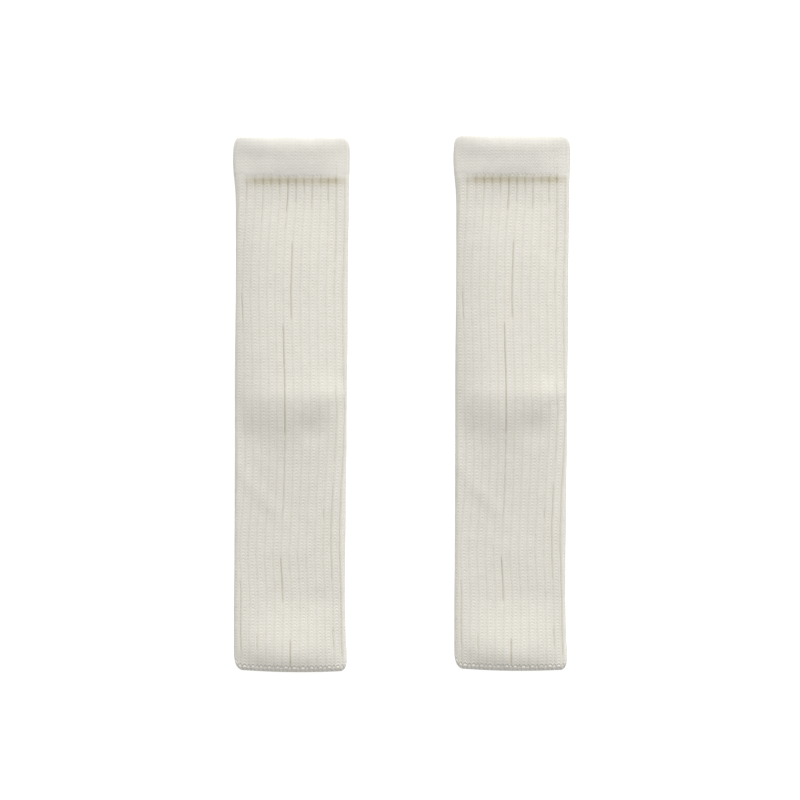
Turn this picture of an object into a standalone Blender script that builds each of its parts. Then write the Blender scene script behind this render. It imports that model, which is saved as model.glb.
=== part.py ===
"""A pair of knitted leg warmers laid flat side by side: two ribbed tubes, each with a doubled plain
band at the top and a bound-off edge at the bottom.

Both legs are the same piece of knitting, so every shape is made once, in the leg's own frame, and
placed twice. In that frame x runs across the leg, y along it towards the doubled band, and z up
from the surface that it lies on. Sizes in the tables are millimetres.
"""

import bpy
import numpy as np

MM = 0.001

# Where each leg lies
LEG_APART = 198.0  # from the middle of one leg to the middle of the other
RIGHT_AHEAD = 1.2  # how much further up the right leg lies than the left

# The cloth
RIBS = range(-22, 25)  # quarters of a rib across the front, from its left groove to the right fold
RIB_PITCH = 0.1582  # from rib to rib, as a share of the front's half width
RIB_DEPTH = 1.1
SHOULDER = 0.2  # how deep a rib lies halfway to its groove, as a share of the depth
RIB_WALL = 3.1  # from the top of a rib to the plain inside
BAND_LAYER = 1.5
BAND_SLOT = 0.4  # between the two layers of the band
BAND_WALL = 2 * BAND_LAYER + BAND_SLOT
FOLD_RADIUS = 4.4  # at each side, where front and back are one piece
IVORY = (0.73, 0.70, 0.63)
IVORY_BAND = (0.70, 0.67, 0.61)
CROWN_POWER = 2.6  # how full the front lies across its width

# Places along a leg
BAND_FOLD = 240.9  # the top, where the band is folded in
GATHER = 203.0  # the line where the band is tacked down and the ribs begin
EDGE_START = -231.7  # where the bound-off edge begins
EDGE_END = -240.9
SEAM = 0.3  # between one piece and the next

# Along the ribbed tube
#   y: along the leg; left, right: its sides; height: top of the ribs at the middle;
#   lean: how far the ribs lie to the right of where they would run straight
TUBE = (
    (GATHER - SEAM, -51.2, 52.2, 12.4, 0.2),
    (197.0, -50.8, 52.0, 12.7, 0.1),
    (186.0, -50.1, 51.9, 13.0, -0.5),
    (168.0, -50.0, 51.8, 13.3, -1.5),
    (130.0, -50.0, 51.1, 13.9, -3.1),
    (94.0, -50.2, 50.9, 14.5, -3.6),
    (58.0, -50.6, 50.8, 15.0, -2.9),
    (30.0, -50.9, 50.3, 15.7, -2.1),
    (14.0, -50.9, 50.1, 16.2, -2.0),
    (5.0, -50.9, 50.0, 15.9, -1.9),
    (-5.0, -50.9, 49.9, 14.6, -1.8),
    (-16.0, -50.9, 49.8, 13.5, -1.8),
    (-32.0, -50.9, 49.8, 13.3, -1.7),
    (-68.0, -51.0, 49.2, 13.5, -2.5),
    (-104.0, -51.2, 49.0, 13.2, -4.7),
    (-140.0, -51.4, 48.5, 12.8, -5.9),
    (-176.0, -51.8, 48.3, 12.8, -4.2),
    (-198.0, -51.8, 48.8, 13.6, -4.1),
    (-212.0, -51.8, 49.1, 14.0, -4.2),
    (-222.0, -51.8, 49.8, 13.6, -4.1),
    (-228.0, -51.8, 50.0, 12.9, -4.0),
    (EDGE_START + SEAM, -51.8, 50.1, 12.4, -4.0),
)

# Along the doubled band, from the gathered line under it up to its fold, as for the tube
BAND = (
    (GATHER, -51.5, 52.2, 12.4, 0.0),
    (206.0, -51.9, 52.3, 13.2, 0.0),
    (211.0, -52.2, 52.5, 14.1, 0.0),
    (219.0, -52.6, 52.7, 14.7, 0.0),
    (229.0, -52.4, 52.8, 14.6, 0.0),
    (236.0, -52.0, 52.7, 14.0, 0.0),
    (239.5, -51.5, 52.2, 13.2, 0.0),
    (BAND_FOLD, -50.9, 51.7, 12.6, 0.0),
)

# Round the band's wall in order: y, and how deep below its outer face
BAND_LOOP = (
    (GATHER, 0.0),
    (206.0, 0.0),
    (211.0, 0.0),
    (219.0, 0.0),
    (229.0, 0.0),
    (236.0, 0.0),
    (238.9, 0.15),
    (240.4, 0.8),
    (BAND_FOLD, BAND_WALL / 2),
    (240.4, BAND_WALL - 0.8),
    (238.9, BAND_WALL - 0.15),
    (236.0, BAND_WALL),
    (219.0, BAND_WALL),
    (GATHER, BAND_WALL),
    (GATHER, BAND_WALL - BAND_LAYER),
    (219.0, BAND_WALL - BAND_LAYER),
    (236.0, BAND_WALL - BAND_LAYER),
    (239.0, BAND_WALL - BAND_LAYER - 0.1),
    (239.0, BAND_LAYER + 0.1),
    (236.0, BAND_LAYER),
    (219.0, BAND_LAYER),
)

# Along the bound-off edge: y, sides, height and lean as for the tube
EDGE = (
    (EDGE_START, -51.8, 50.1, 12.4, -4.0),
    (-236.0, -51.6, 50.0, 11.9, -4.0),
    (EDGE_END, -51.4, 49.8, 11.4, -4.0),
)

# Round the edge's wall in order: y, depth below its outer face, and share of the rib there
EDGE_LOOP = (
    (EDGE_START, 0.0, 1.0),
    (-234.6, 0.0, 0.55),
    (-237.6, 0.0, 0.9),
    (-239.7, 0.35, 0.8),
    (-240.7, 1.1, 0.4),
    (EDGE_END, 1.7, 0.0),
    (-240.5, 2.6, 0.0),
    (-238.8, RIB_WALL, 0.0),
    (EDGE_START, RIB_WALL, 0.0),
)

# Places round a ring run 0 to 4: flat underside, right fold, front from right to left, left fold
FLAT = (0.0, 0.25, 0.5, 0.75)
RIGHT_FOLD = (1.0, 1.3, 1.6, 1.85)
LEFT_FOLD = (3.15, 3.4, 3.7)
PLAIN_FRONT = (2.0, 2.04, 2.1, 2.2, 2.33, 2.5, 2.67, 2.8, 2.9, 2.96, 3.0)
BAND_FRONT = (2.0, 2.03, 2.07, 2.13, 2.2, 2.28, 2.36, 2.45, 2.55, 2.64, 2.72, 2.8, 2.87, 2.93,
              2.97, 3.0)


def rib_front():
    """Places across the front for its ribs, and how deep each lies as a share of the rib depth. The
    k-th quarter of a rib lies at place 2.5 - k * pitch / 8, and every fourth one is a groove."""
    quarter = np.array(RIBS)[::-1]
    depths = np.array([0.0, SHOULDER, 1.0, SHOULDER])[quarter % 4]
    places = 2.5 - quarter * RIB_PITCH / 8
    return np.concatenate([[2.0], places, [3.0]]), np.concatenate([[0.0], depths, [0.0]])


def plain_places(front):
    """Places all round a ring with no ribs."""
    return np.array(FLAT + RIGHT_FOLD + front + LEFT_FOLD)


def ribbed_places():
    """As plain_places, with the ribs across the front and one groove at the top of the right fold."""
    front, depth = rib_front()
    fold_depth = [0.0] * (len(FLAT + RIGHT_FOLD) - 1) + [0.8]
    places = np.concatenate([FLAT + RIGHT_FOLD, front, LEFT_FOLD])
    return places, np.concatenate([fold_depth, depth, np.zeros(len(LEFT_FOLD))])


def outline(places, half, height):
    """Points and outward normals of a section: a flat underside, a round fold of radius r at each
    side, and a front z = height - drop (x / join)^p that meets the fold with no kink."""
    r, p, tilt = FOLD_RADIUS, CROWN_POWER, 0.3
    for _ in range(12):
        join = half - r + r * np.sin(tilt)
        drop = height - r - r * np.cos(tilt)
        tilt = np.arctan(drop * p / join)
    x, z, nx, nz = (np.zeros(len(places)) for _ in range(4))
    flat = places < 1
    x[flat] = (2 * places[flat] - 1) * (half - r)
    nz[flat] = -1
    for side, start in ((1, 1.0), (-1, 3.0)):
        on = (places >= start) & (places < start + 1) if side > 0 else places > 3
        share = places[on] - start if side > 0 else 4 - places[on]
        turn = -np.pi / 2 + share * (np.pi - tilt)
        x[on] = side * (half - r + r * np.cos(turn))
        z[on] = r + r * np.sin(turn)
        nx[on], nz[on] = side * np.cos(turn), np.sin(turn)
    front = (places >= 2) & (places <= 3)
    share = 1 - 2 * (places[front] - 2)
    x[front] = share * join
    z[front] = height - drop * np.abs(share) ** p
    slope = drop * p * np.abs(share) ** (p - 1) / join * np.sign(share)
    length = np.sqrt(1 + slope**2)
    nx[front], nz[front] = slope / length, 1 / length
    return np.stack([x, z], 1), np.stack([nx, nz], 1)


def end_bow(x, y):
    """How far up the leg a point moves for the ends to lie as they do: the bottom is lowest at its
    middle and rounds up into the folds, the top dips a little at its middle."""
    low = np.clip((-205 - y) / 30, 0, 1)
    rounded = 1.6 * (x / 45) ** 2 + 6.5 * (np.maximum(np.abs(x) - 44, 0) / 7) ** 2
    high = np.clip((y - 210) / 30, 0, 1)
    return low * rounded - high * 1.1 * np.maximum(1 - (x / 40) ** 2, 0)


def ring(table, y, places, depth):
    """One ring of points at y: the section between the table's rows, moved in by depth. Where the
    ribs lean, the places across the front slide along it, and its two ends stay."""
    rows = np.array(sorted(table))
    left, right, height, lean = (np.interp(y, rows[:, 0], rows[:, i]) for i in (1, 2, 3, 4))
    half = (right - left) / 2
    inside = (places > 2) & (places < 3)
    points, normals = outline(places - inside * lean / half / 2, half, height)
    points = points - normals * np.reshape(depth, (-1, 1))
    x = points[:, 0] + (left + right) / 2
    return places, np.stack([x, y + end_bow(x, y), points[:, 1]], 1)


def wall(rings):
    """Points and triangles of a wall whose rings follow each other and close on the first. Two
    rings join by always stepping on along the one whose next place comes first."""
    points = np.concatenate([at for _, at in rings])
    starts = np.cumsum([0] + [len(at) for _, at in rings])
    faces = []
    for k in range(len(rings)):
        after = (k + 1) % len(rings)
        a, b = rings[k][0], rings[after][0]
        i = j = 0
        while i < len(a) or j < len(b):
            here, there = starts[k] + i % len(a), starts[after] + j % len(b)
            next_a = a[i + 1] if i + 1 < len(a) else 4 + (i + 1 - len(a))
            next_b = b[j + 1] if j + 1 < len(b) else 4 + (j + 1 - len(b))
            if next_a <= next_b and i < len(a) or j == len(b):
                faces.append((here, starts[k] + (i + 1) % len(a), there))
                i += 1
            else:
                faces.append((here, starts[after] + (j + 1) % len(b), there))
                j += 1
    a, b, c = (points[np.array(faces)[:, i]] for i in range(3))
    outward = np.einsum("ij,ij->i", a, np.cross(b, c)).sum() > 0
    return points, [face if outward else face[::-1] for face in faces]


def tube_wall():
    """The ribbed tube: ribs in the outer rings, a plain inside."""
    places, grooves = ribbed_places()
    inside = plain_places(PLAIN_FRONT)
    outer = [ring(TUBE, row[0], places, grooves * RIB_DEPTH) for row in TUBE]
    inner = [ring(TUBE, row[0], inside, RIB_WALL) for row in TUBE]
    return wall(outer + inner[::-1])


def band_wall():
    """The band: one cloth folded inwards at the top, its two layers open to each other below."""
    places = plain_places(BAND_FRONT)
    return wall([ring(BAND, y, places, depth) for y, depth in BAND_LOOP])


def edge_wall():
    """The bound-off edge: a rounded rim that carries the ends of the ribs."""
    places, grooves = ribbed_places()
    inside = plain_places(PLAIN_FRONT)
    return wall([
        ring(EDGE, y, places, depth + grooves * rib * RIB_DEPTH)
        if rib else ring(EDGE, y, inside, depth)
        for y, depth, rib in EDGE_LOOP
    ])


def knit_material(name, colour):
    """Off-white knitting: matt, and not metal."""
    material = bpy.data.materials.new(name)
    material.use_nodes = True
    shader = material.node_tree.nodes["Principled BSDF"]
    shader.inputs["Base Color"].default_value = (*colour, 1)
    shader.inputs["Roughness"].default_value = 0.95
    shader.inputs["Metallic"].default_value = 0.0
    return material


def piece_mesh(name, shape, material):
    """A mesh in metres with smooth faces, sharp only where the cloth turns over an end."""
    points, faces = shape
    mesh = bpy.data.meshes.new(name)
    mesh.from_pydata((points * MM).tolist(), [], [list(map(int, face)) for face in faces])
    mesh.shade_smooth()
    mesh.set_sharp_from_angle(angle=np.radians(60))
    mesh.materials.append(material)
    return mesh


def empty(name, x, y):
    """What carries one leg's pieces: it stands at the leg's middle, on the surface."""
    carrier = bpy.data.objects.new(name, None)
    carrier.location = (x * MM, y * MM, 0)
    return carrier


for thing in list(bpy.data.objects):
    bpy.data.objects.remove(thing)

leg_warmers = bpy.data.collections.new("leg warmers")
bpy.context.scene.collection.children.link(leg_warmers)

meshes = {
    "tube": piece_mesh("tube", tube_wall(), knit_material("ribbed knit", IVORY)),
    "top_band": piece_mesh("top_band", band_wall(), knit_material("plain knit", IVORY_BAND)),
    "bottom_edge": piece_mesh("bottom_edge", edge_wall(), knit_material("bound edge", IVORY)),
}
for side, x, y in (
    ("left", -LEG_APART / 2, -RIGHT_AHEAD / 2),
    ("right", LEG_APART / 2, RIGHT_AHEAD / 2),
):
    leg = empty(f"{side}_leg", x, y)
    leg_warmers.objects.link(leg)
    for piece, mesh in meshes.items():
        thing = bpy.data.objects.new(f"{side}_{piece}", mesh)
        thing.parent = leg
        leg_warmers.objects.link(thing)
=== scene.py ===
"""The looks of a pair of ribbed leg warmers that lie flat, side by side, on a pale floor.

Every piece is one closed wall of knitting, laid round the leg's flattened ring. A place on it is
given by its wale, which counts ribs to the right of the front's middle groove, by how far along
the leg it lies and by how deep it is below the outer face. Sizes in the tables are millimetres, in
the leg's own frame: x across the leg, y along it towards the doubled band, z up from the floor.
"""

import bpy
import numpy as np
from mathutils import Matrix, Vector


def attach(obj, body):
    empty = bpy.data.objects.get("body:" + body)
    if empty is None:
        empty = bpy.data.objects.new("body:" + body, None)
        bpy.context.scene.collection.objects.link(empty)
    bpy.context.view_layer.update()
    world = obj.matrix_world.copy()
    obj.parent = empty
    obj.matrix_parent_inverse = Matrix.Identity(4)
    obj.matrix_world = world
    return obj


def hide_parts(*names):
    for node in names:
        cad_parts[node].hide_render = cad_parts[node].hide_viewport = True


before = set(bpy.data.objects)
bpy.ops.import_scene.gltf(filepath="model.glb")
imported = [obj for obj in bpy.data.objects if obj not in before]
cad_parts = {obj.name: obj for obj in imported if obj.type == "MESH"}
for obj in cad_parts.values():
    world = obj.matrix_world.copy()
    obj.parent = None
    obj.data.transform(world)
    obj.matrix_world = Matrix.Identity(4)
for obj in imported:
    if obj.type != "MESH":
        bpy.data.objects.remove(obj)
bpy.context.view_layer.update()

MM = 0.001

# Where each leg lies
LEG_PLACES = {"left": (-99.0, -0.6), "right": (99.0, 0.6)}

# The leg's ring
RIBS_ROUND = 28
HALF_ROUND = RIBS_ROUND / 2
FRONT_RIBS = 13
RIB_FRONT = 7.486  # from rib to rib across the front
MIDDLE_GROOVE = 1.2  # where the middle groove of the front lies across the leg
FOLD_RADIUS = 4.3
CROWN_POWER = 2.6  # how flat the front stays before it turns down to its folds
WALL = 3.1

# The ribs and the stitches
RIB_DEPTH = 0.25
RIB_FULLNESS = 4.0  # how flat the top of a rib is before it turns down to its groove
GROOVE_SHARE = 0.2  # share of a rib to each side of a groove that the groove's own arcs take
WALES_IN_RIB = 2
ROW = 2.93  # height of a row of stitches
CHEVRON = 2.5  # how far a stitch's legs run down from the top of its arc
STITCH = 0.165  # how proud a strand stands
PIT = 0.18  # hole under the arc of each rib's middle
CREASE = 0.1  # where the two legs of a stitch meet

# What varies from place to place in the knitting
TUBE_ROWS_STRAY = 0.8  # how far a row strays along the leg
BAND_ROWS_STRAY = 0.5
WALES_STRAY = 0.03  # how far a wale strays sideways, in ribs
STRANDS_VARY = 0.25  # share by which strands stand higher or lower
PRESSED_STRANDS = 0.4  # share of their height that strands lose on the underside
PRESSED_RIBS = 0.55
PRESSED_BEADS = 0.75

# The tacked line and the ends
PINCH = 201.6  # where the cloth is drawn in below the band
# The hollow along the tacked line is darkened with painted shade: these say how far it reaches down
# and up, and how strong it is
PINCH_BELOW = 4.5  # how far the dark hollow there reaches down
PINCH_ABOVE = 2.8  # and up
PINCH_PAINTED_SHADE = 0.85
CALM_FROM = 199.0  # where the tube's relief begins to calm down towards the band
TUCK_FROM = 206.6  # where the tube dips under the band's rim
TUBE_TOP = 210.0
TUBE_BOTTOM = -234.4
TOP_BOW_FROM = 210.0  # where the bows of the ends begin
BOTTOM_BOW_FROM = -205.0
BOW_LENGTH = 30.0
CORNER_WIDTH = 7.0

# How finely the cloth is cut up
FINE = 8  # columns to a rib where it shows
COARSE = 4  # and on the underside
SHOWN = 8  # ribs to each side of the middle that are fine
STEPS = 4  # rings to a row of stitches, and half as many on the underside
INSIDE_RINGS = 28
INSIDE_ROWS = 150

# Along the ribbed tube: y, left side, right side, height at the middle
TUBE = np.array([
    (208.0, -51.7, 52.3, 13.1), (206.0, -51.6, 52.3, 12.9), (202.7, -51.5, 52.2, 12.45),
    (197.0, -50.8, 52.0, 11.7), (190.0, -50.3, 52.0, 11.2), (180.0, -50.0, 51.9, 10.9),
    (168.0, -50.0, 51.8, 11.55), (150.0, -50.0, 51.4, 12.7), (130.0, -50.0, 51.1, 13.6),
    (94.0, -50.2, 50.9, 14.6), (58.0, -50.6, 50.8, 15.5), (30.0, -50.9, 50.3, 16.5),
    (14.0, -50.9, 50.1, 17.4), (4.0, -50.9, 50.0, 17.75), (-7.0, -50.9, 49.9, 17.05),
    (-18.0, -50.9, 49.8, 15.5), (-28.0, -50.9, 49.8, 13.95), (-40.0, -50.9, 49.8, 12.6),
    (-54.0, -51.0, 49.5, 11.75), (-72.0, -51.0, 49.2, 10.85), (-90.0, -51.1, 49.1, 10.0),
    (-104.0, -51.2, 49.0, 9.55), (-140.0, -51.4, 48.5, 8.9), (-175.0, -51.7, 48.3, 8.7),
    (-190.0, -51.8, 48.6, 9.6), (-212.0, -51.8, 49.1, 12.1), (-222.0, -51.8, 49.8, 12.6),
    (-228.0, -51.8, 50.0, 12.2), (-232.0, -51.8, 50.1, 11.5), (-236.0, -51.6, 50.0, 10.4),
    (-239.0, -51.5, 49.9, 9.3), (-240.9, -51.4, 49.8, 8.7),
])
TUBE_ROUNDING = 9.0  # how far to each side the table is averaged

# Along the doubled band, as for the tube
BAND = np.array([
    (200.0, -51.3, 52.1, 12.1), (203.0, -51.5, 52.2, 12.5), (206.0, -51.9, 52.3, 12.9),
    (209.0, -52.1, 52.4, 13.3), (212.0, -52.2, 52.5, 13.6), (219.0, -52.6, 52.7, 14.3),
    (227.0, -52.5, 52.8, 15.15), (231.0, -52.3, 52.8, 15.3), (234.0, -52.2, 52.7, 15.0),
    (237.0, -52.0, 52.6, 14.5), (239.2, -51.6, 52.3, 13.8), (240.9, -50.9, 51.7, 13.2),
])
BAND_ROUNDING = 3.0

# How far the ribs lie to the right of straight: y, then at the left, the middle and the right
LEAN = np.array([
    (240.9, 2.6, 2.6, 1.4), (189.8, 3.3, 3.1, 1.4), (171.8, 2.5, 2.0, 1.4),
    (153.8, 1.3, 0.0, 1.5), (135.8, 0.0, -0.7, 1.1), (99.8, -1.2, -1.4, -0.3),
    (63.8, 0.6, -1.2, 0.3), (27.8, 1.2, 0.2, 0.5), (-8.2, 0.5, 0.5, 2.2),
    (-44.2, 2.0, 0.0, 0.5), (-80.2, 0.8, -1.1, -2.0), (-116.2, -2.7, -2.8, -3.2),
    (-134.2, -3.2, -4.0, -2.9), (-170.2, -1.7, -1.5, -2.0), (-206.2, -2.4, -1.8, -1.2),
    (-224.2, -1.8, -2.2, -0.3), (-240.9, -1.8, -2.2, -0.3),
])

# Wales round the ring, and the share there of the lean at the left, the middle and the right
LEAN_WALES = (-14.0, -6.0, 0.0, 5.5, 14.0)
LEAN_SHARES = ((0, 1, 0, 0, 0), (1, 0, 1, 0, 1), (0, 0, 0, 1, 0))

# Soft folds and hollows of the front: x, y, half size along and across, turn in degrees, height
SOFT_FOLDS = (
    (2.0, 9.0, 60.0, 6.0, 0.0, 0.3),
    (-38.0, -26.0, 13.0, 12.0, 0.0, -1.0),
    (19.0, -22.0, 10.0, 9.0, 0.0, -1.4),
    (-39.0, -238.0, 14.0, 10.0, 0.0, -1.4),
    (2.0, -230.0, 12.0, 8.0, 0.0, 0.5),
    (36.0, 8.0, 11.0, 9.0, 0.0, 1.2),
    (-29.0, -79.0, 30.0, 5.0, -49.0, 0.5),
    (-1.0, -132.0, 12.0, 10.0, 0.0, 0.5),
    (30.0, -176.0, 12.0, 8.0, 0.0, -0.5),
    (-30.0, 100.0, 26.0, 30.0, 20.0, -0.4),
    (20.0, 120.0, 30.0, 22.0, -15.0, 0.4),
    (-15.0, 50.0, 24.0, 16.0, 30.0, 0.3),
    (26.0, -60.0, 20.0, 22.0, 15.0, -0.35),
    (-38.0, 222.0, 11.0, 6.0, 0.0, -0.5),
    (42.0, 222.0, 8.0, 7.0, 0.0, -0.5),
    (-5.0, 213.0, 30.0, 5.0, 5.0, 0.3),
)

# Grooves pulled open into slits: which groove from the middle one, top, bottom, how deep
SLITS = (
    (-6, 203.0, 180.0, 0.35), (-5, 203.0, 192.0, 0.3), (-4, 203.0, 160.0, 0.3),
    (-3, 203.0, 192.0, 0.35), (-2, 203.0, 186.0, 0.5), (-1, 202.0, 170.0, 0.85),
    (-1, 172.0, 152.0, 0.3), (0, 203.0, 178.0, 0.5), (1, 203.0, 187.0, 0.4),
    (2, 203.0, 172.0, 0.55), (3, 203.0, 192.0, 0.25), (4, 203.0, 178.0, 0.55),
    (0, 147.0, 74.0, 0.8), (-1, 74.0, -30.0, 0.9), (-1, -30.0, -106.0, 0.4),
    (-1, -136.0, -180.0, 0.8), (0, -209.0, -236.0, 0.9), (4, -92.0, -106.0, 0.5),
    (5, 216.0, 124.0, 0.4), (5, 124.0, 94.0, 0.3), (5, 20.0, -56.0, 0.3),
    (5, -70.0, -160.0, 0.5), (5, -198.0, -222.0, 0.5), (6, 200.0, 10.0, 0.25),
    (6, 10.0, -230.0, 0.45), (-6, 101.0, 74.0, 0.5), (-6, -156.0, -222.0, 0.5),
    (-4, -204.0, -222.0, 0.4), (12, 60.0, -40.0, 0.5), (-11, -80.0, -170.0, 0.5),
    (9, 150.0, 90.0, 0.5), (-9, 30.0, -20.0, 0.4),
)
SLIT_EASE = 5.0  # over how far a slit opens at each end

# The doubled band: round its wall, y and depth, from the lower rim up, over the fold, down the
# inner layer, and back through the slot between the two layers
BAND_PATH = np.array([
    (207.0, 0.5), (206.75, 0.25), (206.85, 0.08), (207.2, 0.0), (209.0, 0.0), (211.0, 0.0),
    (219.0, 0.0), (229.0, 0.0), (235.0, 0.0), (238.9, 0.05), (240.2, 0.35), (240.8, 0.95),
    (240.9, 1.7), (240.8, 2.3), (240.0, 2.9), (238.3, 3.3), (235.0, 3.4), (219.0, 3.4),
    (208.7, 3.4), (207.6, 3.2), (207.2, 2.8), (207.6, 2.3), (209.2, 2.05), (219.0, 2.05),
    (236.0, 2.05), (238.0, 1.9), (238.0, 1.5), (236.0, 1.35), (219.0, 1.4), (210.0, 1.5),
    (208.0, 1.3), (207.3, 0.9),
])
BAND_FACE = 33.6  # length of the path from the rim to the top of the fold
BAND_KNITTED = 40.1  # length to which it has its stitches
BAND_INSIDE = 72.0  # length to which the inner layer is cut in even steps
BAND_STEP = 2.5  # and how long those are
BAND_RIMS = 66.0  # length beyond which the path lies in the lower rims and the slot
INNER_RIM = 18  # the path's point where the inner layer turns round its lower rim

# The bound-off edge: round its wall, y and depth, from its seam with the tube
EDGE_PATH = np.array([
    (-231.9, 0.9), (-233.7, 0.5), (-234.9, 0.35), (-236.0, 0.3), (-237.2, 0.4), (-238.3, 0.75),
    (-239.2, 1.2), (-239.8, 1.8), (-240.0, 2.3), (-239.7, 2.8), (-238.9, 3.1), (-236.0, 3.1),
    (-233.0, 3.1), (-232.4, 2.6), (-232.2, 1.6),
])
EDGE_STEP = 0.45
EDGE_OUTER = 9  # the path's point where the outer side ends
BEAD_LINE = 4.8  # where along the path the beads lie, then the small loops and the chain
SMALL_LINE = 5.3
CHAIN_LINE = 7.6


# Small formulas that the rest is built from

def ease(past, width):
    """0 up to a line and 1 from width past it on, straight in between."""
    return np.clip(past / width, 0, 1)


def bell(off, width):
    """1 on a line, falling to each side as exp(-(off / width)^2)."""
    return np.exp(-((off / width) ** 2))


def ribs_out(wale):
    """How many ribs a place lies from the middle groove, by the shorter way round."""
    return np.abs((wale + HALF_ROUND) % RIBS_ROUND - HALF_ROUND)


def from_groove(wale):
    """How far a place lies from the nearest groove, in ribs."""
    return np.minimum(wale % 1, 1 - wale % 1)


def at_folds(wale):
    """0 over the front, and 1 from the folds on round the back."""
    return ease(ribs_out(wale) - 5.0, 1.5)


def underneath(wale):
    """0 over the front and its folds, and 1 on the underside."""
    return ease(ribs_out(wale) - 7.2, 1.2)


def uneven(wale, y, wide, long, seed):
    """Smooth random numbers from -1 to 1, the same at both ends of the ring: values on a grid of
    cells, wide in ribs and long in mm, joined by straight lines in both directions."""
    turns_on = 40  # whole turns and millimetres added, so that every place counts up from 0
    length_on = 300
    across = round(RIBS_ROUND / wide)
    along_leg = int(2 * length_on / long) + 2
    values = np.random.default_rng(seed).uniform(-1, 1, (across, along_leg))
    place_w = (wale + turns_on * RIBS_ROUND) / wide
    place_y = (y + length_on) / long
    w0 = np.floor(place_w).astype(int)
    y0 = np.floor(place_y).astype(int)
    a = place_w - w0
    b = place_y - y0
    w1 = (w0 + 1) % across
    w0 = w0 % across
    low = values[w0, y0] * (1 - a) + values[w1, y0] * a
    high = values[w0, y0 + 1] * (1 - a) + values[w1, y0 + 1] * a
    return low * (1 - b) + high * b


# The form that the cloth lies in

def along(table, column, y):
    """A table's column at y: the straight lines between its rows, rounded off by averaging over a
    few millimetres to each side, fewer on the band."""
    rows = table[np.argsort(table[:, 0])]
    reach = BAND_ROUNDING if table is BAND else TUBE_ROUNDING
    near = np.linspace(-reach, reach, 13)
    weight = np.exp(-0.5 * (2 * near / reach) ** 2)
    grid = np.arange(rows[0, 0] - 1, rows[-1, 0] + 1, 0.5)
    places = np.clip(grid[:, None] + near, rows[0, 0], rows[-1, 0])
    smooth = np.interp(places, rows[:, 0], rows[:, column]) @ weight / weight.sum()
    return np.interp(y, grid, smooth)


def end_bow(x, y):
    """How far up the leg a point moves for the ends to lie as they do: the bottom is lowest at its
    middle and rounds up into the folds, the top dips a little at its middle and rounds down."""
    bottom = 1.6 * ((x - 8) / 50) ** 2 + 6.5 * (np.maximum(np.abs(x) - 44, 0) / CORNER_WIDTH) ** 2
    dip = 0.3 * np.maximum(1 - (x / 40) ** 2, 0)
    corner = 5.0 * (np.maximum(np.abs(x) - 45, 0) / CORNER_WIDTH) ** 2
    low = ease(BOTTOM_BOW_FROM - y, BOW_LENGTH)
    high = ease(y - TOP_BOW_FROM, BOW_LENGTH)
    return low * bottom - high * (dip + corner)


def soft_folds(x, y):
    """The sum of the soft folds: each is its height times a bell over its own turned ellipse."""
    total = np.zeros_like(x)
    for place_x, place_y, half_along, half_across, turn, height in SOFT_FOLDS:
        angle = np.radians(turn)
        run = (x - place_x) * np.cos(angle) + (y - place_y) * np.sin(angle)
        cross = (y - place_y) * np.cos(angle) - (x - place_x) * np.sin(angle)
        total += height * np.exp(-0.5 * ((run / half_along) ** 2 + (cross / half_across) ** 2))
    return total


def lay(table, wale, y, depth):
    """Points of the cloth laid round the leg. The wale gives the distance round the ring: ribs are
    evenly spaced across the front and share the rest of the ring behind, and the whole ring turns
    by the lean. That distance runs along a crowned front, z = height - drop (x / join)^p, then
    round a fold of radius r, then along the flat underside. The depth is taken off along the
    ring's normal."""
    wale = (wale + HALF_ROUND) % RIBS_ROUND - HALF_ROUND
    left, right, height = (along(table, column, y) for column in (1, 2, 3))
    half = (right - left) / 2
    middle = (right + left) / 2
    r = FOLD_RADIUS
    p = CROWN_POWER

    # The crown's slope where it meets the fold, found by trying again from the last answer
    tilt = 0.3
    for _ in range(8):
        join = half - r + r * np.sin(tilt)
        drop = height - r - r * np.cos(tilt)
        tilt = np.arctan(drop * p / join)
    fold = r * (np.pi - tilt)
    ring = 2 * (join + fold + half - r)

    # The distance round the ring, from the middle of the front
    front = FRONT_RIBS / 2
    behind = (ring / 2 - front * RIB_FRONT) / (HALF_ROUND - front)
    out = np.abs(wale)
    run = np.where(out < front, out * RIB_FRONT, front * RIB_FRONT + (out - front) * behind)
    lean = sum(
        along(LEAN, column, y) * np.interp(wale, LEAN_WALES, shares)
        for column, shares in zip((1, 2, 3), LEAN_SHARES)
    )
    run = np.sign(wale) * run + lean + MIDDLE_GROOVE - middle
    run = (run + ring / 2) % ring - ring / 2
    side = np.sign(run)
    run = np.abs(run)

    # The place and the normal at that distance
    on_front = run <= join
    on_fold = (run > join) & (run <= join + fold)
    share = np.clip(run / join, 0, 1)
    turn = np.pi / 2 - tilt - (run - join) / r
    slope = drop * p * share ** (p - 1) / join
    length = np.sqrt(1 + slope**2)
    x = np.where(on_front, run, np.where(on_fold, half - r + r * np.cos(turn), ring / 2 - run))
    z = np.where(on_front, height - drop * share**p, np.where(on_fold, r + r * np.sin(turn), 0))
    nx = np.where(on_front, slope / length, np.where(on_fold, np.cos(turn), 0))
    nz = np.where(on_front, 1 / length, np.where(on_fold, np.sin(turn), -1))
    x = side * (x - nx * depth) + middle
    up = np.clip(nz, 0, 1)
    z = z - nz * depth + up**2 * soft_folds(x, y)
    return np.stack([x, y + end_bow(x, y), z], -1)


# The knitting on it

def slit_depth(wale, y):
    """How far each groove is pulled open at y, on the column of points that lies in the groove."""
    total = np.zeros_like(wale)
    for groove, top, bottom, depth in SLITS:
        here = ribs_out(wale - groove) < 0.01
        opening = ease(top - y, SLIT_EASE) * ease(y - bottom, SLIT_EASE)
        total = np.maximum(total, here * opening * depth)
    return total


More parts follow.
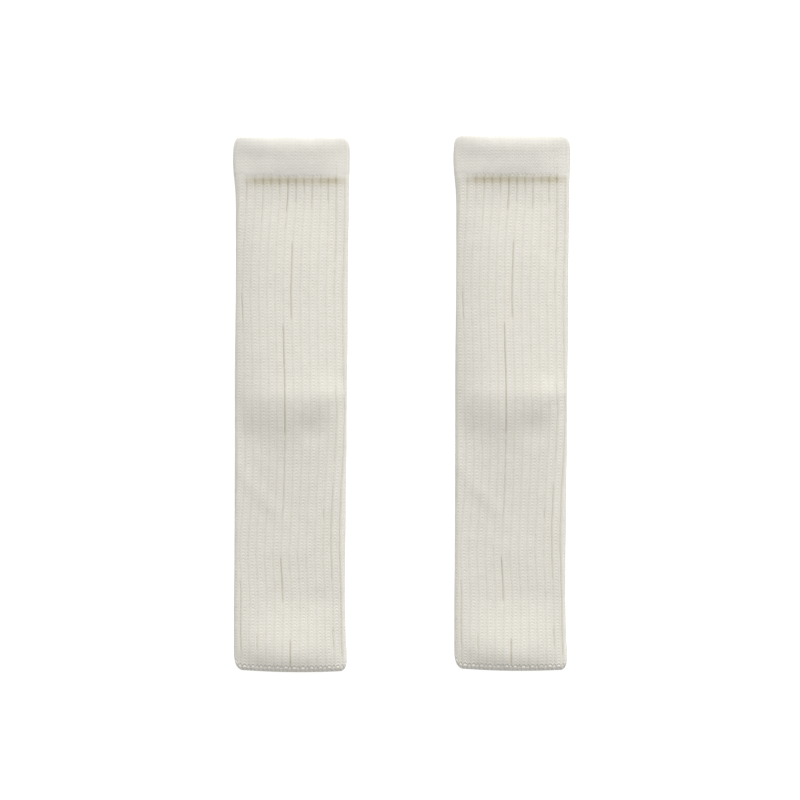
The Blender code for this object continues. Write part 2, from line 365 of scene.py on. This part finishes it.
def pinch_shade(wale, y):
    """How much painted shade the hollow along the tacked line gets, and how far the tube's grooves
    sink there: a bell along the leg, darkest in the grooves, full over the front, a little uneven,
    and nearly gone at the folds."""
    below = bell(np.minimum(y - PINCH, 0), PINCH_BELOW)
    above = bell(np.maximum(y - PINCH, 0), PINCH_ABOVE)
    across = (1 - 0.9 * at_folds(wale)) * (1 + 0.25 * uneven(wale, 0 * wale, 2, 300, 5))
    return below * above * across * (0.87 + 0.17 * bell(from_groove(wale), 0.2))


def stitch_parts(wale, row):
    """For each place, where it lies in its stitch: the share of the way from the top of an arc down
    to the bottom of the V, and the share of its row."""
    quarter = (wale % 1) * 2 * WALES_IN_RIB
    down = 1 - np.abs(quarter % 2 - 1)
    return down, row % 1


def chevron(down):
    """How far a line of stitches hangs below its arcs: round at the arcs, pointed at the Vs."""
    return CHEVRON * (1 - np.cos(np.pi / 2 * down))


def strand_depth(down, part, arc):
    """How deep the knitted face lies below the tops of its strands: a round strand in each row, a
    hole under each arc as large as arc says, and a crease where the two legs of a stitch meet."""
    strand = STITCH * (0.5 + 0.5 * np.cos(2 * np.pi * part)) * (1 - 0.45 * down)
    under = bell(down, 0.4) * bell((part + 0.5) % 1 - 0.5, 0.2)
    crease = CREASE * (1 - ease(1 - down, 0.5))
    return strand + PIT * arc * under + crease


# Meshes

def quads(numbers, wale, row):
    """Faces of a grid of point numbers, and the corners' places in the knitting."""
    here, ahead = slice(None, -1), slice(1, None)
    corners = (here, here), (here, ahead), (ahead, ahead), (ahead, here)
    faces = np.stack([numbers[c].ravel() for c in corners], 1)
    places = np.stack([np.stack([wale[c].ravel(), row[c].ravel()], 1) for c in corners], 1)
    return faces.tolist(), places.reshape(-1, 2)


def ring_wales(columns):
    """The wales of a whole ring that has this many columns to a rib."""
    half = RIBS_ROUND // 2 * columns
    return np.arange(-half, half) / columns


def path_lengths(path):
    """How far along a path of (y, depth) each of its points lies."""
    steps = np.hypot(*np.diff(path, axis=0).T)
    return np.concatenate([[0], np.cumsum(steps)])


def closed_rings(wale, y, depth, painted_shade, row, table):
    """A grid of rings that closes both round the leg and round the wall's edge. The rings of the
    outer face come in order up the leg, so that the faces turn outward."""
    points = lay(table, wale, y, depth).reshape(-1, 3)
    numbers = np.arange(wale.size).reshape(wale.shape)
    numbers = np.concatenate([numbers, numbers[:1]])
    numbers = np.concatenate([numbers, numbers[:, :1]], 1)
    wide = np.concatenate([wale, wale[:1]])
    wide = np.concatenate([wide, wide[:, :1] + RIBS_ROUND], 1)
    rows = np.concatenate([row, row[-1:] + 1])
    rows = np.concatenate([rows, rows[:, :1]], 1)
    faces, knit = quads(numbers, wide, rows)
    return points, painted_shade.ravel(), faces, knit


def seam_strip(fine_no, coarse_no, fine_wale, coarse_wale, row):
    """Five-cornered faces between a fine column of points and a coarse one, two fine steps to a
    coarse one, and their corners' places in the knitting."""
    low, mid, high = row[:-1:2], row[1::2], row[2::2]
    faces = np.stack([
        fine_no[:-1:2], coarse_no[:-1], coarse_no[1:], fine_no[2::2], fine_no[1::2],
    ], 1)
    corners = (
        (fine_wale, low), (coarse_wale, low), (coarse_wale, high), (fine_wale, high),
        (fine_wale, mid),
    )
    places = np.stack([np.stack([np.full(at.shape, w), at], 1) for w, at in corners], 1)
    return faces, places


# The ribbed tube

def tube_face(wale, row):
    """The outer face of the tube at a wale and a row: where it lies round and along the leg, how
    deep, and how much painted shade its grooves, holes, slits and the hollow below the band get."""
    down, part = stitch_parts(wale, row)
    straight = TUBE_BOTTOM + row * ROW
    y = straight - chevron(down) + TUBE_ROWS_STRAY * uneven(wale, straight, 1, 20.0, 1)
    across = np.interp(wale % 1, (0, 0.25, 0.75, 1), (0, GROOVE_SHARE, 1 - GROOVE_SHARE, 1))
    place = np.floor(wale) + across + WALES_STRAY * uneven(wale, straight, 1, 14.0, 2)
    aside = np.abs(2 * across - 1)
    under = underneath(wale)
    calm = 1 - 0.6 * ease(y - CALM_FROM, 5)
    rib = RIB_DEPTH * calm * (1 - PRESSED_RIBS * under) * aside**RIB_FULLNESS
    arc = np.where(np.abs(across - 0.5) < 0.3, 1.0, 0.4)
    strand = strand_depth(down, part, arc) * (1 - PRESSED_STRANDS * under) * calm
    strand *= 1 + STRANDS_VARY * uneven(wale, straight, 0.5, ROW, 3)
    slit = slit_depth(wale, y)
    tuck = ease(y - TUCK_FROM, 2)
    hollow = pinch_shade(wale, y)
    drawn = 0.3 * calm * hollow * aside**2.5
    depth = rib + strand + slit + tuck + drawn
    # Painted shade: darker in the rib grooves, under the strands, in the slits and in the hollow
    # below the band
    painted_shade = 0.8 * rib + 1.2 * strand + 0.9 * slit + PINCH_PAINTED_SHADE * hollow
    return place, y, depth, painted_shade


def tube_blocks():
    """The tube's wall: the outer face, fine where it shows and coarse below, then a rim, the plain
    inside and a rim again, all on the same columns at the ends."""
    rows = (TUBE_TOP - TUBE_BOTTOM) / ROW
    steps = int(round(rows * STEPS / 2)) * 2
    fine_w = np.arange(-SHOWN * FINE, SHOWN * FINE + 1) / FINE
    coarse_w = np.arange(SHOWN * COARSE + 1, (RIBS_ROUND - SHOWN) * COARSE) / COARSE
    fine_row = np.arange(steps + 1) * (rows / steps)

    points, painted_shades, faces, knit, grids = [], [], [], [], []
    first = 0
    for wales, face_rows in ((fine_w, fine_row), (coarse_w, fine_row[::2])):
        wale, row = np.meshgrid(wales, face_rows)
        place, y, depth, painted_shade = tube_face(wale, row)
        points.append(lay(TUBE, place, y, depth).reshape(-1, 3))
        painted_shades.append(painted_shade.ravel())
        numbers = np.arange(wale.size).reshape(wale.shape) + first
        first += wale.size
        found, places = quads(numbers, wale, row)
        faces += found
        knit.append(places)
        grids.append(numbers)
    fine_no, coarse_no = grids

    # Where fine and coarse columns meet, on the right and then on the left
    strip, places = seam_strip(fine_no[:, -1], coarse_no[:, 0], fine_w[-1], coarse_w[0], fine_row)
    faces += strip.tolist()
    knit.append(places.reshape(-1, 2))
    round_once = fine_w[0] + RIBS_ROUND
    strip, places = seam_strip(fine_no[:, 0], coarse_no[:, -1], round_once, coarse_w[-1], fine_row)
    faces += strip[:, ::-1].tolist()
    knit.append(places[:, ::-1].reshape(-1, 2))

    # The rest of the wall: rim at the top, the inside from top to bottom, rim at the bottom
    ring_w = np.concatenate([fine_w, coarse_w])
    inside_y = np.linspace(TUBE_TOP - 1.0, TUBE_BOTTOM + 1.0, INSIDE_RINGS)
    wall_y = np.concatenate([[TUBE_TOP + 0.4], inside_y, [TUBE_BOTTOM - 0.4]])
    wall_depth = np.concatenate([[WALL - 0.4], np.full(INSIDE_RINGS, WALL), [WALL - 0.6]])
    wale, y = np.meshgrid(ring_w, wall_y)
    depth = np.broadcast_to(wall_depth[:, None], wale.shape)
    points.append(lay(TUBE, wale, y, depth).reshape(-1, 3))
    # The inside gets an even painted shade
    painted_shades.append(np.full(wale.size, 0.5))
    wall_no = np.arange(wale.size).reshape(wale.shape) + first
    top = np.concatenate([fine_no[-1], coarse_no[-1]])
    bottom = np.concatenate([fine_no[0], coarse_no[0]])
    numbers = np.concatenate([top[None], wall_no, bottom[None]])
    numbers = np.concatenate([numbers, numbers[:, :1]], 1)
    wale = np.broadcast_to(np.append(ring_w, ring_w[0] + RIBS_ROUND), numbers.shape)
    row = np.broadcast_to(np.linspace(INSIDE_ROWS, 0, len(numbers))[:, None], numbers.shape)
    found, places = quads(numbers, wale, row)
    faces += found
    knit.append(places)
    return np.concatenate(points), np.concatenate(painted_shades), faces, np.concatenate(knit)


# The doubled band

def band_blocks():
    """The band's wall along its path. The rows of stitches follow the outer face and the fold, and
    the rim is scalloped by the last row's Vs."""
    length = path_lengths(BAND_PATH)
    knitted = np.concatenate([length[:3], np.arange(1, BAND_KNITTED, ROW / STEPS)])
    inside = np.arange(knitted[-1] + 2, BAND_INSIDE, BAND_STEP)
    rest = np.unique(np.concatenate([inside, length[INNER_RIM:]]))
    s = np.concatenate([knitted, rest])
    wale, s = np.meshgrid(ring_wales(FINE), s)
    down, part = stitch_parts(wale, s / ROW)
    y = np.interp(s, length, BAND_PATH[:, 0])
    depth = np.interp(s, length, BAND_PATH[:, 1])

    # How far the knitting hangs in Vs: over the outer face, and where the lower rims follow it
    face = ease(BAND_FACE + 5 - s, 6)
    hang = CHEVRON * down * ease(BAND_FACE + 2 - s, 6)
    near_rim = (1 - ease(y - 206.3, 3)) * (s > BAND_RIMS)
    y = y - hang - near_rim * CHEVRON * down
    y = y + BAND_ROWS_STRAY * face * uneven(wale, s, 1, 12.0, 11)

    # The outer layer is drawn in at the sides of the tacked line
    drawn = 0.15 * bell(np.maximum(y - 205.3, 0), 2.0) * at_folds(wale) * (depth < 1.6)

    # The strands, calmer in the last rows above the rim, over the fold and on the underside
    strand = strand_depth(down, part, 0.75) * 0.9 * face * (0.4 + 0.6 * ease(s, 8))
    strand *= 1 - 0.6 * ease(s - BAND_FACE + 8, 6)
    strand *= 1 + STRANDS_VARY * uneven(wale, s, 0.5, ROW, 12)
    strand *= 1 - PRESSED_STRANDS * underneath(wale)
    slit = slit_depth(wale, y) * face
    # Painted shade: darker under the strands, in the slits and along the tacked line; the inner
    # layers get an even painted shade
    shade = 1.2 * strand + 0.6 * slit + PINCH_PAINTED_SHADE * pinch_shade(wale, y)
    painted_shade = np.where(s > knitted[-1], 0.5, shade)
    place = wale + WALES_STRAY * uneven(wale, s, 1, 14.0, 13)
    return closed_rings(place, y, depth + drawn + strand + slit, painted_shade, s / ROW, BAND)


# The bound-off edge

def edge_blocks():
    """The edge's wall along its path. The bound-off loops are round beads, one to a rib, on its
    shoulder, with a smaller loop in each groove, and a chain of slanted loops, two to a rib, rolls
    round below them."""
    length = path_lengths(EDGE_PATH)
    outer_end = length[EDGE_OUTER]
    s = np.concatenate([np.arange(0, outer_end, EDGE_STEP), length[EDGE_OUTER:]])[::-1]
    wale, s = np.meshgrid(ring_wales(2 * FINE), s)
    across = wale % 1
    y = np.interp(s, length, EDGE_PATH[:, 0])
    depth = np.interp(s, length, EDGE_PATH[:, 1])
    outer = ease(outer_end - s, 2)

    # Each rib's bead has its own size and lies a little off the line of beads
    rib_number = np.floor(wale) + 0.5
    size = 1 + 0.35 * uneven(rib_number, 0 * s, 1, 300, 21)
    off = 0.5 * uneven(rib_number, 0 * s, 1, 300, 22)
    bead = bell(across - 0.5, 0.23) * bell(s - BEAD_LINE - off, 1.4) * size
    small = bell(from_groove(wale), 0.16) * bell(s - SMALL_LINE, 1.0)
    below = s - CHAIN_LINE
    chain = np.cos(4 * np.pi * across - 1.1 * below) * bell(below, 1.8)
    relief = (0.25 - 0.7 * bead - 0.35 * small - 0.42 * chain) * outer
    relief = relief * (1 - PRESSED_BEADS * underneath(wale))
    slit = slit_depth(wale, y) * outer
    # Painted shade: darker between the beads, in the slits and in the chain's hollows, lighter on
    # the chain's crests
    painted_shade = 0.5 * slit + (0.12 * (1 - bead) - 0.15 * chain + 0.05) * outer
    return closed_rings(wale, y, depth + relief + slit, painted_shade, s / ROW, TUBE)


# Materials

def feed(tree, socket, value):
    """Link an output to a socket, or set the socket to a plain value."""
    if isinstance(value, bpy.types.NodeSocket):
        tree.links.new(value, socket)
    else:
        socket.default_value = value


def named_group(name, inputs, outputs):
    """An empty shader node group with these sockets, each a name, a kind and a value."""
    group = bpy.data.node_groups.new(name, "ShaderNodeTree")
    for socket, kind, value in inputs:
        made = group.interface.new_socket(socket, in_out="INPUT", socket_type=kind)
        made.default_value = value
    for socket, kind in outputs:
        group.interface.new_socket(socket, in_out="OUTPUT", socket_type=kind)
    return group, group.nodes.new("NodeGroupInput"), group.nodes.new("NodeGroupOutput")


def maths(tree, operation, a, b=None, clamp=False):
    """A Math node: a and b are numbers or outputs."""
    node = tree.nodes.new("ShaderNodeMath")
    node.operation = operation
    node.use_clamp = clamp
    feed(tree, node.inputs[0], a)
    if b is not None:
        feed(tree, node.inputs[1], b)
    return node.outputs[0]


def mixed(tree, factor, a, b, blend="MIX"):
    """A colour mix of a and b, each a colour or an output."""
    node = tree.nodes.new("ShaderNodeMix")
    node.data_type = "RGBA"
    node.blend_type = blend
    feed(tree, node.inputs[0], factor)
    feed(tree, node.inputs[6], a)
    feed(tree, node.inputs[7], b)
    return node.outputs[2]


def noise(tree, vector, scale, detail, roughness=0.5):
    """Noise on a vector's output."""
    node = tree.nodes.new("ShaderNodeTexNoise")
    tree.links.new(vector, node.inputs["Vector"])
    node.inputs["Scale"].default_value = scale
    node.inputs["Detail"].default_value = detail
    node.inputs["Roughness"].default_value = roughness
    return node.outputs["Fac"]


FLECKS = 0.16  # how much lighter or darker single fibres are
PLIES_ACROSS = 6.0  # turns of the yarn's twist to a rib
PLIES_ALONG = 3.0  # and to a row
PLY_HEIGHT = 0.35  # beside the fibres' height of 1
FULL_TURN = 6.2832


def yarn_with_painted_shade():
    """The yarn itself: its colour, slightly mottled, with painted shade that turns it darker and
    warmer in the grooves and holes, and the height of its plies and of its loose fibres."""
    group, given, gives = named_group(
        "knitted yarn with painted shade",
        (("Colour", "NodeSocketColor", (0.8, 0.8, 0.8, 1)),
         ("Painted Shade Colour", "NodeSocketColor", (0.4, 0.35, 0.25, 1)),
         ("Painted Shade Strength", "NodeSocketFloat", 1.0),
         ("Mottle", "NodeSocketFloat", 0.05)),
        (("Colour", "NodeSocketColor"), ("Height", "NodeSocketFloat")),
    )
    links = group.links
    place = group.nodes.new("ShaderNodeTexCoord").outputs["Object"]
    painted_shade = group.nodes.new("ShaderNodeAttribute")
    painted_shade.attribute_name = "painted_shade"
    # The painted shade attribute mixes the colour towards the olive colour of the painted shade
    deep = maths(group, "MULTIPLY", painted_shade.outputs["Fac"], given.outputs["Painted Shade Strength"], clamp=True)
    patches = maths(group, "SUBTRACT", noise(group, place, 90.0, 3.0), 0.5)
    mottle = maths(group, "MULTIPLY", patches, given.outputs["Mottle"])
    fibre = noise(group, place, 1400.0, 4.0, 0.65)
    fleck = maths(group, "MULTIPLY", maths(group, "SUBTRACT", fibre, 0.5), FLECKS)
    bright = maths(group, "ADD", maths(group, "ADD", mottle, fleck), 1.0)
    tone = group.nodes.new("ShaderNodeCombineColor")
    for channel in range(3):
        links.new(bright, tone.inputs[channel])
    plain_yarn = mixed(group, 1.0, given.outputs["Colour"], tone.outputs[0], "MULTIPLY")
    shaded = mixed(group, deep, plain_yarn, given.outputs["Painted Shade Colour"])
    links.new(shaded, gives.inputs["Colour"])

    knit = group.nodes.new("ShaderNodeUVMap")
    knit.uv_map = "knit"
    parts = group.nodes.new("ShaderNodeSeparateXYZ")
    links.new(knit.outputs[0], parts.inputs[0])
    turns_across = maths(group, "MULTIPLY", parts.outputs[0], PLIES_ACROSS)
    turns_along = maths(group, "MULTIPLY", parts.outputs[1], PLIES_ALONG)
    turns = maths(group, "ADD", turns_across, turns_along)
    ply = maths(group, "SINE", maths(group, "MULTIPLY", turns, FULL_TURN))
    height = maths(group, "ADD", maths(group, "MULTIPLY", ply, PLY_HEIGHT), fibre)
    links.new(height, gives.inputs["Height"])
    return group


IVORY = (0.791, 0.771, 0.718)
# The band's ivory is a touch darker than the ribbed tube's
DARKER_IVORY = (0.774, 0.757, 0.708)
# The olive of the painted shade in the knitting's grooves and holes
PAINTED_SHADE_OLIVE = (0.46, 0.40, 0.23)
MOTTLE = 0.10
YARN = yarn_with_painted_shade()


def knit_material(name, colour, painted_shade_strength):
    """Knitting from the yarn group: matt, with a slight soft sheen and a fine bump. The painted
    shade strength says how far its painted shade turns the colour olive."""
    material = bpy.data.materials.new(name)
    material.use_nodes = True
    tree = material.node_tree
    shader = tree.nodes["Principled BSDF"]
    shader.inputs["Roughness"].default_value = 0.92
    shader.inputs["Specular IOR Level"].default_value = 0.2
    shader.inputs["Sheen Weight"].default_value = 0.12
    shader.inputs["Sheen Roughness"].default_value = 0.5
    yarn = tree.nodes.new("ShaderNodeGroup")
    yarn.node_tree = YARN
    yarn.inputs["Colour"].default_value = (*colour, 1)
    yarn.inputs["Painted Shade Colour"].default_value = (*PAINTED_SHADE_OLIVE, 1)
    yarn.inputs["Painted Shade Strength"].default_value = painted_shade_strength
    yarn.inputs["Mottle"].default_value = MOTTLE
    tree.links.new(yarn.outputs["Colour"], shader.inputs["Base Color"])
    bump = tree.nodes.new("ShaderNodeBump")
    bump.inputs["Strength"].default_value = 0.5
    bump.inputs["Distance"].default_value = 0.0002
    tree.links.new(yarn.outputs["Height"], bump.inputs["Height"])
    tree.links.new(bump.outputs["Normal"], shader.inputs["Normal"])
    return material


ribbed = knit_material("ribbed ivory knit", IVORY, 0.55)
plain = knit_material("plain ivory knit", DARKER_IVORY, 0.55)
bound = knit_material("bound-off ivory edge", IVORY, 0.6)


# The pieces of both legs

def joined(blocks, name, material, replaced, place):
    """One mesh from blocks of points, painted shade, faces and their places in the knitting, with
    its frame calls. The mesh is in metres, moved to the leg's own place."""
    points, painted_shades, faces, knit = blocks
    mesh = bpy.data.meshes.new(name)
    moved = points * MM + np.array([place[0] * MM, place[1] * MM, 0])
    mesh.from_pydata(moved.tolist(), [], faces)
    mesh.shade_smooth()
    uv = mesh.uv_layers.new(name="knit")
    uv.data.foreach_set("uv", knit.astype(np.float32).ravel())
    # The painted shade is kept as a point attribute, which the yarn group mixes into the colour
    painted_shade = mesh.attributes.new("painted_shade", "FLOAT", "POINT")
    painted_shade.data.foreach_set("value", painted_shades.astype(np.float32))
    mesh.materials.append(material)
    piece = bpy.data.objects.new(name, mesh)
    bpy.context.scene.collection.objects.link(piece)
    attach(piece, "root")
    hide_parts(replaced)


TUBE_CUT = (0.2136, 0.434)
BAND_CUT = (0.2136, 0.076)
EDGE_CUT = (0.2136, 0.0102)
shapes = (
    ("ribbed_knit", tube_blocks(), "ribbed_knit", ribbed, "tube", TUBE_CUT),
    ("folded_band", band_blocks(), "plain_knit", plain, "top_band", BAND_CUT),
    ("bound_off_edge", edge_blocks(), "bound_edge", bound, "bottom_edge", EDGE_CUT),
)
for side, place in LEG_PLACES.items():
    for name, blocks, slot_name, material, node, flat in shapes:
        joined(blocks, f"{side}_{name}", material, f"{side}_{node}", place)


# The floor, the light and the camera

def pale_floor():
    """A plain white floor that glows a little, as a lit table does, just below the cloth."""
    mesh = bpy.data.meshes.new("floor")
    size = 6.0
    low = -0.0001
    corners = [(-size, -size, low), (size, -size, low), (size, size, low), (-size, size, low)]
    mesh.from_pydata(corners, [], [(0, 1, 2, 3)])
    floor = bpy.data.objects.new("floor", mesh)
    bpy.context.scene.collection.objects.link(floor)
    material = bpy.data.materials.new("pale floor")
    material.use_nodes = True
    shader = material.node_tree.nodes["Principled BSDF"]
    shader.inputs["Base Color"].default_value = (0.3, 0.3, 0.3, 1)
    shader.inputs["Roughness"].default_value = 1.0
    shader.inputs["Specular IOR Level"].default_value = 0.0
    shader.inputs["Emission Color"].default_value = (1, 1, 1, 1)
    shader.inputs["Emission Strength"].default_value = 0.86
    mesh.materials.append(material)


def aimed_light(name, kind, place, strength, colour):
    """A light at a place, aimed at the middle of the pair."""
    light = bpy.data.lights.new(name, kind)
    light.energy = strength
    light.color = colour
    lamp = bpy.data.objects.new(name, light)
    lamp.location = place
    lamp.rotation_euler = (-Vector(place)).to_track_quat("-Z", "Y").to_euler()
    bpy.context.scene.collection.objects.link(lamp)
    return light


pale_floor()

# The window is a wide, soft sun, so that it doesn't fall off along the legs
window = aimed_light("window", "SUN", (0.4, 2.3, 1.07), 2.9, (1.0, 0.99, 0.975))
window.angle = np.radians(42.0)
overhead = aimed_light("overhead", "AREA", (0.7, 1.3, 2.1), 15.0, (1.0, 1.0, 1.0))
overhead.size = 2.0
room = bpy.data.worlds.new("soft room")
room.use_nodes = True
background = room.node_tree.nodes["Background"]
background.inputs["Color"].default_value = (1.0, 1.0, 1.0, 1)
background.inputs["Strength"].default_value = 0.43
bpy.context.scene.world = room
bpy.context.scene.view_settings.view_transform = "Standard"

# The camera looks straight down from high above
camera_data = bpy.data.cameras.new("camera")
camera_data.sensor_width = 36.0
camera_data.lens = 135.0
camera = bpy.data.objects.new("camera", camera_data)
camera.location = (-0.0014, 0.0038, 2.7)
camera.rotation_euler = (0, 0, 0)
bpy.context.scene.collection.objects.link(camera)
bpy.context.scene.camera = camera
